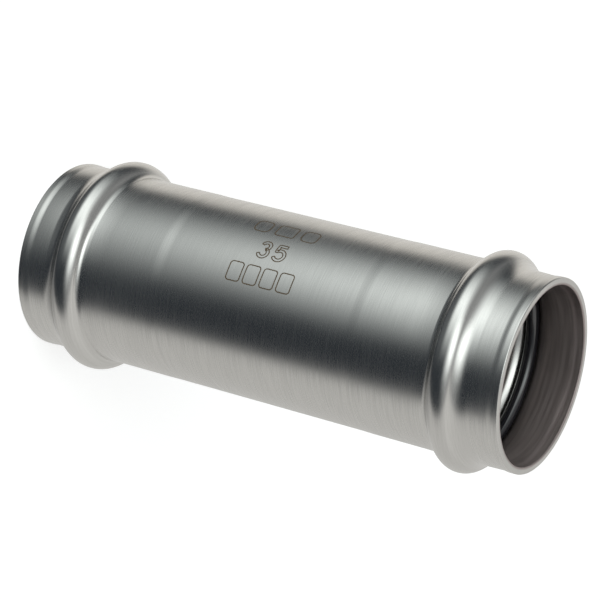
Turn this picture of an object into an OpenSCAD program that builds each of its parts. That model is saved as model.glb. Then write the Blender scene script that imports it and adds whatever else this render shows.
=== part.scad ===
// Press-fit slip coupling: a stainless tube with a rolled bead near each end and a rubber ring in each bead.
// It stands on one end. The origin is the centre of that end face, and +Z runs along the bore.
// All lengths are in millimetres.

/* [Pipe and socket] */
// Outside diameter of the pipes that the coupling joins
pipe_od = 35; // [28:0.5:54]
// Difference between the socket bore and the pipe
socket_play = 0.4; // [0.3:0.05:0.8]
// Thickness of the tube wall
wall = 1.5; // [1:0.1:2]
// Length from end face to end face
length = 109.4; // [90:0.2:160]
// Depth of each calibrated socket, from its end face to the foot of the step
socket_depth = 33.8; // [26:0.2:42]

/* [Middle] */
// Radial drop from the sockets to the uncalibrated middle
middle_drop = 0.05; // [0.02:0.01:0.12]
// Axial length of the slope between a socket and the middle
middle_slope = 2.8; // [1:0.1:4]

/* [Mouth] */
// Length of the widened mouth at each end, its slope included
mouth_len = 2.6; // [2.2:0.05:4]
// Radial growth of the mouth over the socket
mouth_lift = 0.05; // [0.02:0.01:0.3]
// Axial length of the slope behind the mouth
mouth_slope = 1.5; // [0.3:0.1:1.8]
// Bevel on the inner and outer edges of the end faces
edge_break = 0.25; // [0.1:0.05:0.4]

/* [Seal and bead] */
// Distance of each bead's crest from its end face
bead_at = 11.8; // [11:0.1:16]
// Cord diameter of the seal ring
seal_cord = 2.6; // [2.2:0.1:3.6]
// Radial gap between the seal ring and the pipe before pressing
seal_clear = 0.3; // [0:0.05:0.5]
// Radial gap between the seal ring and the crest of its chamber
seal_seat = 0.06; // [0.02:0.01:0.1]
// Radius that the chamber has over the seal's own cord
chamber_room = 0.15; // [0.1:0.05:0.5]
// Outside radius of the long hollow that leads from the mouth up to the bead
mouth_foot = 4.2; // [2:0.1:6]
// Outside radius of the short hollow on the bead's other side
inner_foot = 1.5; // [0.6:0.1:2]

/* [Hidden] */
$fn = 160;
steel = [0.72, 0.73, 0.71];
black_rubber = [0.06, 0.06, 0.07];

// Bore radii of the three kinds of cylinder
socket_r = (pipe_od + socket_play) / 2;
mouth_r = socket_r + mouth_lift;
middle_r = socket_r - middle_drop;

// The seal stands clear of the pipe until it is pressed, and the chamber is struck round the seal
seal_r = pipe_od / 2 + seal_clear + seal_cord / 2;
chamber_r = seal_cord / 2 + chamber_room;
chamber_centre = seal_r + seal_cord / 2 + seal_seat - chamber_r;

// A hollow at a foot of the bead bites a trace into the tube and the bead,
// so that the arcs cross cleanly instead of only touching.
bite = 0.0005;

// Distance of a hollow's centre from the axis, from the bead's own centre, and along the tube from the crest
function foot_centre(foot) = socket_r + wall + foot - bite;
function foot_span(foot) = chamber_r + wall + foot - bite;
function foot_reach(foot) = sqrt(pow(foot_span(foot), 2) - pow(foot_centre(foot) - chamber_centre, 2));

// How far the cutting section runs past the end faces
overrun = 1;

// Half of the lengthwise outline, from an end face to the middle, as [radius, distance from the end face].
// grow is the distance outside the bore surface, and edge is the bevel's change of radius at the end face.
function half_outline(grow, edge) = [
    [mouth_r + grow + edge, 0],
    [mouth_r + grow, edge_break],
    [mouth_r + grow, mouth_len - mouth_slope],
    [socket_r + grow, mouth_len],
    [socket_r + grow, socket_depth - middle_slope],
    [middle_r + grow, socket_depth]
];

// The same points measured from the other end face, in reverse order
function from_other_end(points) = [
    for (i = [len(points) - 1 : -1 : 0]) [points[i][0], length - points[i][1]]
];

// Everything from the axis out to a straight-sided surface of the tube
module straight_section(grow, edge, past) {
    half = half_outline(grow, edge);
    start = half[0][0];
    polygon(concat(
        [[0, -past], [start, -past]],
        half,
        from_other_end(half),
        [[start, length + past], [0, length + past]]
    ));
}

// From the bead's crest down its hollow to the tube, on one side, filled in to the axis
module bead_side(grow, foot) {
    reach = foot_reach(foot);
    join_r = chamber_centre + (chamber_r + grow) * (foot_centre(foot) - chamber_centre) / foot_span(foot);
    difference() {
        square([join_r, reach]);
        translate([foot_centre(foot), reach]) circle(foot + wall - grow);
    }
}

// One bead with the hollows at its feet. The mouth lies towards -Y.
module bead_section(grow) {
    translate([chamber_centre, 0]) circle(chamber_r + grow);
    bead_side(grow, inner_foot);
    mirror([0, 1]) bead_side(grow, mouth_foot);
}

// The half section out to a surface that lies grow outside the bore
module filled_section(grow, edge, past) {
    straight_section(grow, edge, past);
    translate([0, bead_at]) bead_section(grow);
    translate([0, length - bead_at]) mirror([0, 1]) bead_section(grow);
}

module coupling_body() {
    color(steel)
        rotate_extrude()
            difference() {
                filled_section(wall, -edge_break, 0);
                filled_section(0, edge_break, overrun);
            }
}

module seal_ring(height) {
    color(black_rubber)
        translate([0, 0, height])
            rotate_extrude()
                translate([seal_r, 0]) circle(d = seal_cord);
}

module upper_seal() { seal_ring(length - bead_at); }
module lower_seal() { seal_ring(bead_at); }

coupling_body();
upper_seal();
lower_seal();
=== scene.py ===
"""Looks of a press-fit slip coupling: a rolled tube, rubber seal rings, an etched size mark and a studio."""

import math

import bpy
import numpy as np
from mathutils import Matrix, Vector


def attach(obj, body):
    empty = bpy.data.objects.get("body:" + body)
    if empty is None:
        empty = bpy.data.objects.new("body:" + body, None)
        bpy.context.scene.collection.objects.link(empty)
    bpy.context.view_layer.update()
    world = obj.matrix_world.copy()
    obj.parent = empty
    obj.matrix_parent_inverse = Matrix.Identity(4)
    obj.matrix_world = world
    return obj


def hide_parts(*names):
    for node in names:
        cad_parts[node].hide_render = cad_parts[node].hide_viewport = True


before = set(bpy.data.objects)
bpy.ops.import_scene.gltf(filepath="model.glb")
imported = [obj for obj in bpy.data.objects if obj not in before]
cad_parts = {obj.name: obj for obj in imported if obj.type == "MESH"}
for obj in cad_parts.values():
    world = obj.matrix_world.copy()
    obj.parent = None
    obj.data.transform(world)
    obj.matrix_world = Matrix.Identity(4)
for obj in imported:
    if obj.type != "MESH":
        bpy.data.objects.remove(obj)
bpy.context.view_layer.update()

MM = 0.001

# Driving sizes in millimetres, the same as in the part's source
PIPE_OD = 35.0
SOCKET_PLAY = 0.4
WALL = 1.5
LENGTH = 109.4
SOCKET_DEPTH = 33.8
MIDDLE_DROP = 0.05
MIDDLE_SLOPE = 2.8
MOUTH_LEN = 2.6
MOUTH_LIFT = 0.05
MOUTH_SLOPE = 1.5
EDGE_BREAK = 0.25
BEAD_AT = 11.8
SEAL_CORD = 2.6
SEAL_CLEAR = 0.3
SEAL_SEAT = 0.06
CHAMBER_ROOM = 0.15
MOUTH_FOOT = 4.2
INNER_FOOT = 1.5

# Traces of rolling on the surface: a slight taper before each bead and a fading swell behind it
LEAD_TAPER = 0.09
SWELL = 0.1
SWELL_LEN = 4.0

# Sizes that follow from them
SOCKET_R = (PIPE_OD + SOCKET_PLAY) / 2
MOUTH_R = SOCKET_R + MOUTH_LIFT
MIDDLE_R = SOCKET_R - MIDDLE_DROP
SEAL_R = PIPE_OD / 2 + SEAL_CLEAR + SEAL_CORD / 2
CHAMBER_R = SEAL_CORD / 2 + CHAMBER_ROOM
CHAMBER_CENTRE = SEAL_R + SEAL_CORD / 2 + SEAL_SEAT - CHAMBER_R

# The fine mesh gives up this much at the bead's crest, and so stays inside the box of the coarser solid
CREST_TRIM = 0.03

# Where the bright finish of a bead comes and goes, from its feet,
# and where the dull inside of a mouth ends, from the crest
POLISH_NEAR = (-1.0, 1.5)
POLISH_FAR = (-1.2, 1.6)
DULL_END = (-0.5, 1.0)

# How finely the round pieces are divided
AROUND = 288
SEAL_AROUND = 240
SEAL_SECTION = 48


# Lengthwise outline: each stretch is a function of 0 to 1 that gives (radius, distance from the end face)


def straight(a, b):
    return lambda t: (a[0] + (b[0] - a[0]) * t, a[1] + (b[1] - a[1]) * t)


def eased(a, b):
    """A step in radius with a soft start and end, as rolling leaves it."""
    return lambda t: (a[0] + (b[0] - a[0]) * (1 - math.cos(math.pi * t)) / 2, a[1] + (b[1] - a[1]) * t)


def fading(a, b):
    """A slope that starts straight and runs out level."""
    return lambda t: (b[0] + (a[0] - b[0]) * (1 - t) ** 2, a[1] + (b[1] - a[1]) * t)


def arc(centre, radius, start, end):
    def at(t):
        angle = start + (end - start) * t
        return centre[0] + radius * math.cos(angle), centre[1] + radius * math.sin(angle)

    return at


def bead_radius(grow):
    return CHAMBER_R + grow - CREST_TRIM * grow / WALL


def bead_foot(grow, foot, swell=0.0):
    """Distance from the axis and from the crest to the centre of a foot's arc, its radius and its turn."""
    centre = SOCKET_R + WALL + foot + swell
    radius = foot + WALL - grow
    reach = math.sqrt((bead_radius(grow) + radius) ** 2 - (centre - CHAMBER_CENTRE) ** 2)
    return centre, reach, radius, math.atan2(reach, centre - CHAMBER_CENTRE)


def half_outline(grow, edge):
    """Stretches and their steps from an end face to the middle, grow outside the bore surface.

    edge is the rounding of the end's corner: below 0 it turns in, above 0 it turns out.
    """
    mouth, socket, middle = MOUTH_R + grow, SOCKET_R + grow, MIDDLE_R + grow
    lead = socket - LEAD_TAPER
    mouth_end, step_start = MOUTH_LEN - MOUTH_SLOPE, SOCKET_DEPTH - MIDDLE_SLOPE
    size = abs(edge)
    corner = (math.pi * 1.5, math.pi * 2) if edge < 0 else (math.pi * 1.5, math.pi)
    near_r, near_reach, near_arc, near_turn = bead_foot(grow, MOUTH_FOOT)
    far_r, far_reach, far_arc, far_turn = bead_foot(grow, INNER_FOOT, SWELL)
    near_at, far_at = BEAD_AT - near_reach, BEAD_AT + far_reach
    swell_lean = math.atan2(2 * SWELL, SWELL_LEN)
    far_foot = arc((far_r, far_at), far_arc, math.pi + far_turn, math.pi + swell_lean)
    swell_end = (socket, far_foot(1)[1] + SWELL_LEN)
    return [
        (arc((mouth + edge, size), size, *corner), 5),
        (straight((mouth, size), (mouth, mouth_end)), 1),
        (eased((mouth, mouth_end), (lead, MOUTH_LEN)), 6),
        (straight((lead, MOUTH_LEN), (socket, near_at)), 1),
        (arc((near_r, near_at), near_arc, math.pi, math.pi - near_turn), 12),
        (arc((CHAMBER_CENTRE, BEAD_AT), bead_radius(grow), -near_turn, far_turn), 24),
        (far_foot, 8),
        (fading(far_foot(1), swell_end), 8),
        (straight(swell_end, (socket, step_start)), 2),
        (eased((socket, step_start), (middle, SOCKET_DEPTH)), 8),
        (straight((middle, SOCKET_DEPTH), (middle, LENGTH / 2)), 3),
    ]


def sample(stretches):
    """Points [radius, height] along the stretches and the unit normals to the right of the path."""
    points, normals = [], []
    step = 1e-4
    for place, count in stretches:
        for i in range(count):
            t = i / count
            before, after = place(t - step), place(t + step)
            along = np.subtract(after, before)
            along /= np.hypot(*along)
            points.append(place(t))
            normals.append((along[1], -along[0]))
    return points, normals


def mirrored(stretches):
    """The same stretches at the other end, walked the other way."""

    def flip(place):
        def at(t):
            r, s = place(1 - t)
            return r, LENGTH - s

        return at

    return [(flip(place), count) for place, count in reversed(stretches)]


def backwards(stretches):
    def back(place):
        return lambda t: place(1 - t)

    return [(back(place), count) for place, count in reversed(stretches)]


def soft_step(x, place, span):
    """0 up to the start of a span about a place, 1 from its end, and smooth between."""
    t = np.clip((x - place - span[0]) / (span[1] - span[0]), 0, 1)
    return t * t * (3 - 2 * t)


def mesh_object(name, points, faces, normals=None, attributes=None):
    """A smooth mesh from points in millimetres, with its own normals and per-point values."""
    mesh = bpy.data.meshes.new(name)
    mesh.from_pydata((np.asarray(points) * MM).tolist(), [], faces)
    mesh.shade_smooth()
    for key, values in (attributes or {}).items():
        layer = mesh.attributes.new(key, "FLOAT", "POINT")
        layer.data.foreach_set("value", np.asarray(values, np.float32))
    if normals is not None:
        mesh.normals_split_custom_set_from_vertices(np.asarray(normals).tolist())
    mesh.update()
    obj = bpy.data.objects.new(name, mesh)
    bpy.context.scene.collection.objects.link(obj)
    return obj


def revolve(name, section, section_normals, around, values):
    """Turns a closed section [radius, height] about the Z axis."""
    section = np.asarray(section)
    section_normals = np.asarray(section_normals)
    angles = np.arange(around) * 2 * math.pi / around
    cos, sin = np.cos(angles)[:, None], np.sin(angles)[:, None]

    def turned(rows):
        flat = np.broadcast_to(rows[None, :, 1], (around, len(rows)))
        return np.stack([cos * rows[None, :, 0], sin * rows[None, :, 0], flat], -1).reshape(-1, 3)

    size = len(section)
    faces = []
    for i in range(around):
        a, b = i * size, ((i + 1) % around) * size
        for j in range(size):
            k = (j + 1) % size
            faces.append((a + j, b + j, b + k, a + k))
    spread = {key: np.tile(v, around) for key, v in values.items()}
    return mesh_object(name, turned(section), faces, turned(section_normals), spread)


# Steel body


def body():
    outer = half_outline(WALL, -EDGE_BREAK)
    inner = half_outline(0, EDGE_BREAK)
    rim_in, rim_out = MOUTH_R + EDGE_BREAK, MOUTH_R + WALL - EDGE_BREAK
    sides = [
        ("outside", outer + mirrored(outer)),
        ("rim", [(straight((rim_out, LENGTH), (rim_in, LENGTH)), 3)]),
        ("inside", backwards(inner + mirrored(inner))),
        ("rim", [(straight((rim_in, 0), (rim_out, 0)), 3)]),
    ]
    points, normals, side_of = [], [], []
    for side, stretches in sides:
        side_points, side_normals = sample(stretches)
        points += side_points
        normals += side_normals
        side_of += [side] * len(side_points)
    inside = np.array([side == "inside" for side in side_of], float)
    rim = np.array([side == "rim" for side in side_of], float)

    heights = np.asarray(points)[:, 1]
    from_end = LENGTH / 2 - np.abs(heights - LENGTH / 2)
    near_foot = BEAD_AT - bead_foot(WALL, MOUTH_FOOT)[1]
    far_foot = BEAD_AT + bead_foot(WALL, INNER_FOOT)[1]
    near_fade = soft_step(from_end, near_foot, POLISH_NEAR)
    far_fade = soft_step(from_end, far_foot, POLISH_FAR)
    polish = near_fade * (1 - far_fade) * (1 - inside)
    dull = inside * (1 - soft_step(from_end, BEAD_AT, DULL_END))
    return revolve("coupling", points, normals, AROUND, {"polish": polish, "dull": dull, "rim": rim})


# Rubber seal rings


def seal(name, height):
    angles = np.arange(SEAL_SECTION) * 2 * math.pi / SEAL_SECTION
    normals = np.stack([np.cos(angles), np.sin(angles)], -1)
    points = normals * SEAL_CORD / 2 + [SEAL_R, height]
    return revolve(name, points, normals, SEAL_AROUND, {})


# Etched mark: three rows of outlined shapes laid on the tube as thin ribbons.
# Rows are placed by their distance round the tube from +X, and shapes by their distance along it.

MARK_Z = 54.8
MARK_LIFT = 0.006
MARK_LINE = 0.24
MARK_STEP = 0.1
STROKE = 0.62
STROKE_STEP = 0.12
FIRST_ROW = -47.0
ROW_PITCH = 6.0
PLATE_PITCH = 5.3
DIGIT_PITCH = 3.5
BLOCK_PITCH = 3.8


def bow(centre, radius, start, end, count=24):
    angles = np.radians(np.linspace(start, end, count))
    return np.stack([centre[0] + radius * np.cos(angles), centre[1] + radius * np.sin(angles)], -1)


def evenly(path, step):
    """The same path with points about one step apart."""
    lengths = np.hypot(*np.diff(path, axis=0).T)
    run = np.concatenate([[0], np.cumsum(lengths)])
    wanted = np.linspace(0, run[-1], max(3, int(run[-1] / step) + 1))
    return np.stack([np.interp(wanted, run, path[:, i]) for i in range(2)], -1)


def sideways(path, closed):
    """Unit vectors across a path, at each of its points."""
    before, after = (path[-1:], path[:1]) if closed else (path[:1], path[-1:])
    ends = np.concatenate([before, path, after])
    along = ends[2:] - ends[:-2]
    along /= np.maximum(np.hypot(*along.T), 1e-9)[:, None]
    return np.stack([along[:, 1], -along[:, 0]], -1)


def outlined(skeleton, width):
    """The closed outline of a stroke of that width drawn along a skeleton."""
    path = evenly(skeleton, STROKE_STEP)
    side = sideways(path, False) * width / 2
    return np.concatenate([path + side, (path - side)[::-1]])


def block(width, height, corner):
    """The outline of a plain block with rounded corners."""
    x, y = width / 2 - corner, height / 2 - corner
    turns = [((x, y), 0), ((-x, y), 90), ((-x, -y), 180), ((x, -y), 270)]
    return np.concatenate([bow(c, corner, a, a + 90, 6) for c, a in turns])


def ribbon(path, width):
    """Points and faces of a closed flat line along a path."""
    path = np.concatenate([path, path[:1]])
    path = evenly(path, MARK_STEP)[:-1]
    side = sideways(path, True) * width / 2
    count = len(path)
    points = np.concatenate([path + side, path - side])
    faces = [(i, (i + 1) % count, count + (i + 1) % count, count + i) for i in range(count)]
    return points, faces


def size_mark():
    three = np.concatenate([bow((0, 0.86), 0.86, 165, -75), bow((0, -0.82), 0.98, 75, -165)])
    flag = [(1.0, 1.62), (-0.7, 1.62), (-0.85, 0.16)]
    five = np.concatenate([flag, bow((0.02, -0.64), 1.14, 130, -155)])
    round_plate, wide_plate = block(3.4, 3.4, 1.0), block(4.2, 3.4, 0.5)
    rows = [
        [(-PLATE_PITCH, round_plate), (0, wide_plate), (PLATE_PITCH, round_plate)],
        [(-DIGIT_PITCH / 2, outlined(three, STROKE)), (DIGIT_PITCH / 2, outlined(five, STROKE))],
        [(BLOCK_PITCH * (i - 1.5), block(3.0, 4.0, 0.6)) for i in range(4)],
    ]
    tube = MIDDLE_R + WALL + MARK_LIFT
    points, faces, normals = [], [], []
    for i, shapes in enumerate(rows):
        row = FIRST_ROW + ROW_PITCH * i
        for along, outline in shapes:
            flat, quads = ribbon(outline, MARK_LINE)
            start = len(points)
            for x, y in flat:
                angle = (row - y) / tube
                normals.append((math.cos(angle), math.sin(angle), 0))
                points.append((tube * math.cos(angle), tube * math.sin(angle), MARK_Z + along + x))
            faces += [tuple(start + corner for corner in quad) for quad in quads]
    return mesh_object("size_mark", points, faces, normals)


# Materials


class Nodes:
    """Adds nodes to one tree. A value that is a socket is linked, and any other is set."""

    def __init__(self, tree):
        self.tree = tree
        tree.nodes.clear()

    def put(self, socket, value):
        if isinstance(value, bpy.types.NodeSocket):
            self.tree.links.new(value, socket)
        else:
            socket.default_value = value

    def add(self, kind, inputs=None, **settings):
        node = self.tree.nodes.new(kind)
        for key, value in settings.items():
            setattr(node, key, value)
        for key, value in (inputs or {}).items():
            self.put(node.inputs[key], value)
        return node

    def math(self, operation, a, b=0.0):
        return self.add("ShaderNodeMath", {0: a, 1: b}, operation=operation).outputs[0]

    def vector(self, operation, inputs, output="Vector"):
        return self.add("ShaderNodeVectorMath", inputs, operation=operation).outputs[output]

    def ramp(self, value, low, high, to_low=0.0, to_high=1.0):
        inputs = {"Value": value, "From Min": low, "From Max": high, "To Min": to_low, "To Max": to_high}
        return self.add("ShaderNodeMapRange", inputs, interpolation_type="SMOOTHSTEP").outputs["Result"]

    def noise(self, vector, stretch, detail=3.0, roughness=0.55):
        stretched = self.vector("MULTIPLY", {0: vector, 1: stretch})
        inputs = {"Vector": stretched, "Scale": 1.0, "Detail": detail, "Roughness": roughness}
        return self.add("ShaderNodeTexNoise", inputs).outputs["Fac"]

    def blend(self, factor, a, b):
        return self.add("ShaderNodeMix", {"Factor": factor, 2: a, 3: b}).outputs[0]

    def mix(self, factor, a, b):
        """A blend of two colours."""
        node = self.add("ShaderNodeMix", {"Factor": factor}, data_type="RGBA")
        for socket, value in ((node.inputs[6], a), (node.inputs[7], b)):
            self.put(socket, value if isinstance(value, bpy.types.NodeSocket) else (*value, 1.0))
        return node.outputs[2]

    def bump(self, height, strength, micrometres):
        inputs = {"Height": height, "Strength": strength, "Distance": micrometres * 1e-6}
        return self.add("ShaderNodeBump", inputs).outputs[0]

    def value(self, name):
        return self.add("ShaderNodeAttribute", attribute_name=name).outputs["Fac"]

    def place(self):
        return self.add("ShaderNodeTexCoord").outputs["Object"]

    def surface(self, inputs):
        shader = self.add("ShaderNodeBsdfPrincipled", inputs).outputs[0]
        self.add("ShaderNodeOutputMaterial", {"Surface": shader})


def material(name):
    made = bpy.data.materials.new(name)
    made.use_nodes = True
    return made, Nodes(made.node_tree)


def steel():
    """Brushed round the tube, brighter on the beads and dull inside the mouths."""
    made, n = material("satin_stainless")
    place = n.place()
    polish, dull, rim = n.value("polish"), n.value("dull"), n.value("rim")
    brush = n.noise(place, (110, 110, 5200), 4.0, 0.6)
    coarse = n.noise(place, (70, 70, 1400), 2.0)
    cloud = n.noise(place, (45, 45, 30), 3.0)
    grain = n.noise(place, (5200, 5200, 5200), 2.0)

    light = n.mix(cloud, (0.57, 0.565, 0.545), (0.66, 0.655, 0.635))
    colour = n.mix(n.ramp(brush, 0.35, 0.65, 0.0, 0.35), light, (0.52, 0.515, 0.5))
    oxide = n.mix(n.ramp(coarse, 0.3, 0.7), (0.32, 0.272, 0.262), (0.43, 0.37, 0.36))
    colour = n.mix(dull, colour, oxide)

    satin_rough = n.math("ADD", n.ramp(brush, 0.3, 0.7, 0.24, 0.31), n.ramp(cloud, 0.35, 0.65, -0.02, 0.02))
    bead_rough = n.ramp(grain, 0.35, 0.65, 0.2, 0.27)
    dull_rough = n.ramp(coarse, 0.3, 0.7, 0.34, 0.46)
    rim_rough = n.ramp(grain, 0.3, 0.7, 0.36, 0.46)
    rough = n.blend(polish, satin_rough, bead_rough)
    rough = n.blend(dull, rough, dull_rough)
    rough = n.blend(rim, rough, rim_rough)

    height = n.math("ADD", n.math("MULTIPLY", brush, 0.6), n.math("MULTIPLY", grain, 0.25))
    height = n.math("ADD", height, n.math("MULTIPLY", coarse, 0.5))
    n.surface(
        {
            "Base Color": colour,
            "Metallic": n.ramp(dull, 0.0, 1.0, 1.0, 0.68),
            "Roughness": rough,
            "Anisotropic": 0.4,
            "Normal": n.bump(height, 0.6, 3),
            "Tangent": n.add("ShaderNodeTangent", direction_type="RADIAL", axis="Z").outputs[0],
        }
    )
    return made


def rubber():
    """Black, under a thin film of grease."""
    made, n = material("black_seal_rubber")
    place = n.place()
    film = n.noise(place, (260, 260, 260), 3.0)
    pores = n.noise(place, (4200, 4200, 4200), 2.0)
    rough = n.math("ADD", n.ramp(film, 0.3, 0.7, 0.12, 0.2), n.ramp(pores, 0.3, 0.7, -0.01, 0.02))
    n.surface(
        {
            "Base Color": n.mix(film, (0.010, 0.010, 0.013), (0.022, 0.022, 0.027)),
            "Roughness": rough,
            "IOR": 1.52,
            "Coat Weight": 1.0,
            "Coat Roughness": 0.06,
            "Normal": n.bump(pores, 0.5, 4),
        }
    )
    return made


def etching():
    """Scorched brown and finely pitted."""
    made, n = material("etched_line")
    place = n.place()
    scorch = n.noise(place, (900, 900, 900), 3.0)
    pits = n.noise(place, (6000, 6000, 6000), 2.0)
    n.surface(
        {
            "Base Color": n.mix(scorch, (0.075, 0.05, 0.028), (0.14, 0.095, 0.05)),
            "Roughness": n.ramp(pits, 0.3, 0.7, 0.38, 0.55),
            "Normal": n.bump(pits, 0.6, 6),
        }
    )
    return made


# Studio: a white table beside the tube, a dark room, a pale ceiling and soft lamps. Angles are in degrees.
# A bearing is an angle about the tube: 0 is +X, 90 is -Y, where the camera stands, and 180 is -X.
# A fade has four values: it comes in between the first two and goes out between the last two.

TABLE_BEARING = 295
TABLE_FADE = (-96, -75, 83, 98)
TABLE_FAR_WHITE = (1.0, 0.965, 0.905)
TABLE_NEAR_WHITE = (1.0, 0.985, 0.955)
ROOM = (0.034, 0.040, 0.048)
CEILING = (1, 1, 0.98)
CEILING_LEVEL = 0.32
LAMP_BEARING = 120
LAMP_COLOUR = (0.95, 1.0, 0.985)
LAMPS = (
    # strength, then the fades of bearing and rise
    (1.85, (75, 147, 130, 200), (-43, -14, 10, 60)),
    (2.2, (50, 100, 101, 150), (8, 50, 51, 85)),
    (0.12, (60, 110, 150, 205), (-88, -60, -40, -20)),
)


def heading(bearing):
    turn = math.radians(bearing)
    return math.cos(turn), -math.sin(turn), 0


def studio():
    world = bpy.data.worlds.new("studio")
    bpy.context.scene.world = world
    world.use_nodes = True
    n = Nodes(world.node_tree)
    look = n.add("ShaderNodeTexCoord").outputs["Generated"]

    def along(direction):
        return n.vector("DOT_PRODUCT", {0: look, 1: direction}, "Value")

    def turn_from(bearing):
        return n.math("ARCTAN2", along(heading(bearing + 90)), along(heading(bearing)))

    def between(angle, low, high, to_low=0.0, to_high=1.0):
        return n.ramp(angle, math.radians(low), math.radians(high), to_low, to_high)

    def faded(angle, fade, late=0.0, middle=0):
        none_low, full_low, full_high, none_high = (edge - middle for edge in fade)
        opened = between(n.math("SUBTRACT", angle, late), none_low, full_low)
        return n.math("MULTIPLY", opened, between(angle, full_high, none_high, 1.0, 0.0))

    def scaled(colour, factor):
        return n.vector("SCALE", {0: colour, "Scale": factor})

    def added(a, b):
        return n.vector("ADD", {0: a, 1: b})

    rise = n.math("ARCSINE", along((0, 0, 1)))
    table_turn = turn_from(TABLE_BEARING)
    lamp_turn = turn_from(LAMP_BEARING)

    # The table's far edge draws back above the horizon, its near part is greyer, and its foot is shaded
    drawn_back = between(rise, -20, 45, 0.0, math.radians(45))
    table = faded(table_turn, TABLE_FADE, drawn_back)
    table = n.math("MULTIPLY", table, between(table_turn, -50, -10, 0.91, 0.69))
    table = n.math("MULTIPLY", table, between(rise, -82, -40, 0.2, 1.0))
    white = n.mix(between(table_turn, -75, -35), TABLE_FAR_WHITE, TABLE_NEAR_WHITE)

    light = added(ROOM, scaled(CEILING, between(rise, 5, 60, 0.0, CEILING_LEVEL)))
    for strength, bearings, rises in LAMPS:
        share = n.math("MULTIPLY", faded(lamp_turn, bearings, middle=LAMP_BEARING), faded(rise, rises))
        light = added(light, scaled(LAMP_COLOUR, n.math("MULTIPLY", share, strength)))

    rays = n.add("ShaderNodeLightPath").outputs
    reflected = n.math("ADD", rays["Is Glossy Ray"], rays["Is Transmission Ray"])
    shown = n.mix(n.math("MULTIPLY", reflected, table), light, white)
    shown = n.mix(rays["Is Camera Ray"], shown, (1, 1, 1))
    back = n.add("ShaderNodeBackground", {"Color": shown, "Strength": 1.0})
    n.add("ShaderNodeOutputWorld", {"Surface": back.outputs[0]})


FLOOR_REACH = 4000
FLOOR_COLOUR = (0.8, 0.8, 0.79, 1)
FLOOR_LIFT = 0.66


def floor():
    """A pale floor that the camera sees as white, with the part's shadow on it."""
    x = y = FLOOR_REACH
    plane = mesh_object("floor", [(-x, -y, 0), (x, -y, 0), (x, y, 0), (-x, y, 0)], [(0, 1, 2, 3)])
    made, n = material("white_floor")
    seen = n.add("ShaderNodeLightPath").outputs["Is Camera Ray"]
    matte = n.add("ShaderNodeBsdfDiffuse", {"Color": FLOOR_COLOUR}).outputs[0]
    lift = n.add("ShaderNodeEmission", {"Color": (1, 1, 1, 1), "Strength": FLOOR_LIFT}).outputs[0]
    lifted = n.add("ShaderNodeAddShader", {0: matte, 1: lift}).outputs[0]
    mixed = n.add("ShaderNodeMixShader", {0: seen, 1: matte, 2: lifted}).outputs[0]
    n.add("ShaderNodeOutputMaterial", {"Surface": mixed})
    plane.data.materials.append(made)
    plane.visible_glossy = False


# The camera's place and lens in millimetres, its rise over the floor and the slant of the tube in the picture
CAMERA_AT = (-2.505, -452.209, 295.582)
CAMERA_LENS = 154.26
CAMERA_SENSOR = 36
CAMERA_RISE = 28.04
CAMERA_SLANT = 14.483


def camera():
    """The photograph's view: the tube's axis runs across the frame, and the upper end comes nearer."""
    data = bpy.data.cameras.new("camera")
    data.lens = CAMERA_LENS
    data.sensor_width = CAMERA_SENSOR
    data.clip_start = 0.01
    data.clip_end = 20
    rise, slant = math.radians(CAMERA_RISE), math.radians(CAMERA_SLANT)
    forward = Vector((0, math.cos(rise), -math.sin(rise)))
    lift = Vector((0, math.sin(rise), math.cos(rise)))
    right = lift * math.cos(slant) - Vector((1, 0, 0)) * math.sin(slant)
    up = -forward.cross(right)
    cam = bpy.data.objects.new("camera", data)
    turn = Matrix((right, up, -forward)).transposed()
    cam.matrix_world = Matrix.Translation(Vector(CAMERA_AT) * MM) @ turn.to_4x4()
    bpy.context.scene.collection.objects.link(cam)
    bpy.context.scene.camera = cam


bpy.context.scene.view_settings.view_transform = "Standard"

black = rubber()
pieces = [
    (body(), steel(), "steel", "coupling_body"),
    (size_mark(), etching(), "steel", None),
    (seal("seal_ring_upper", LENGTH - BEAD_AT), black, "seal_rubber", "upper_seal"),
    (seal("seal_ring_lower", BEAD_AT), black, "seal_rubber", "lower_seal"),
]
for obj, look, slot, node in pieces:
    obj.data.materials.append(look)
    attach(obj, "root")
    if node:
        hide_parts(node)

studio()
floor()
camera()
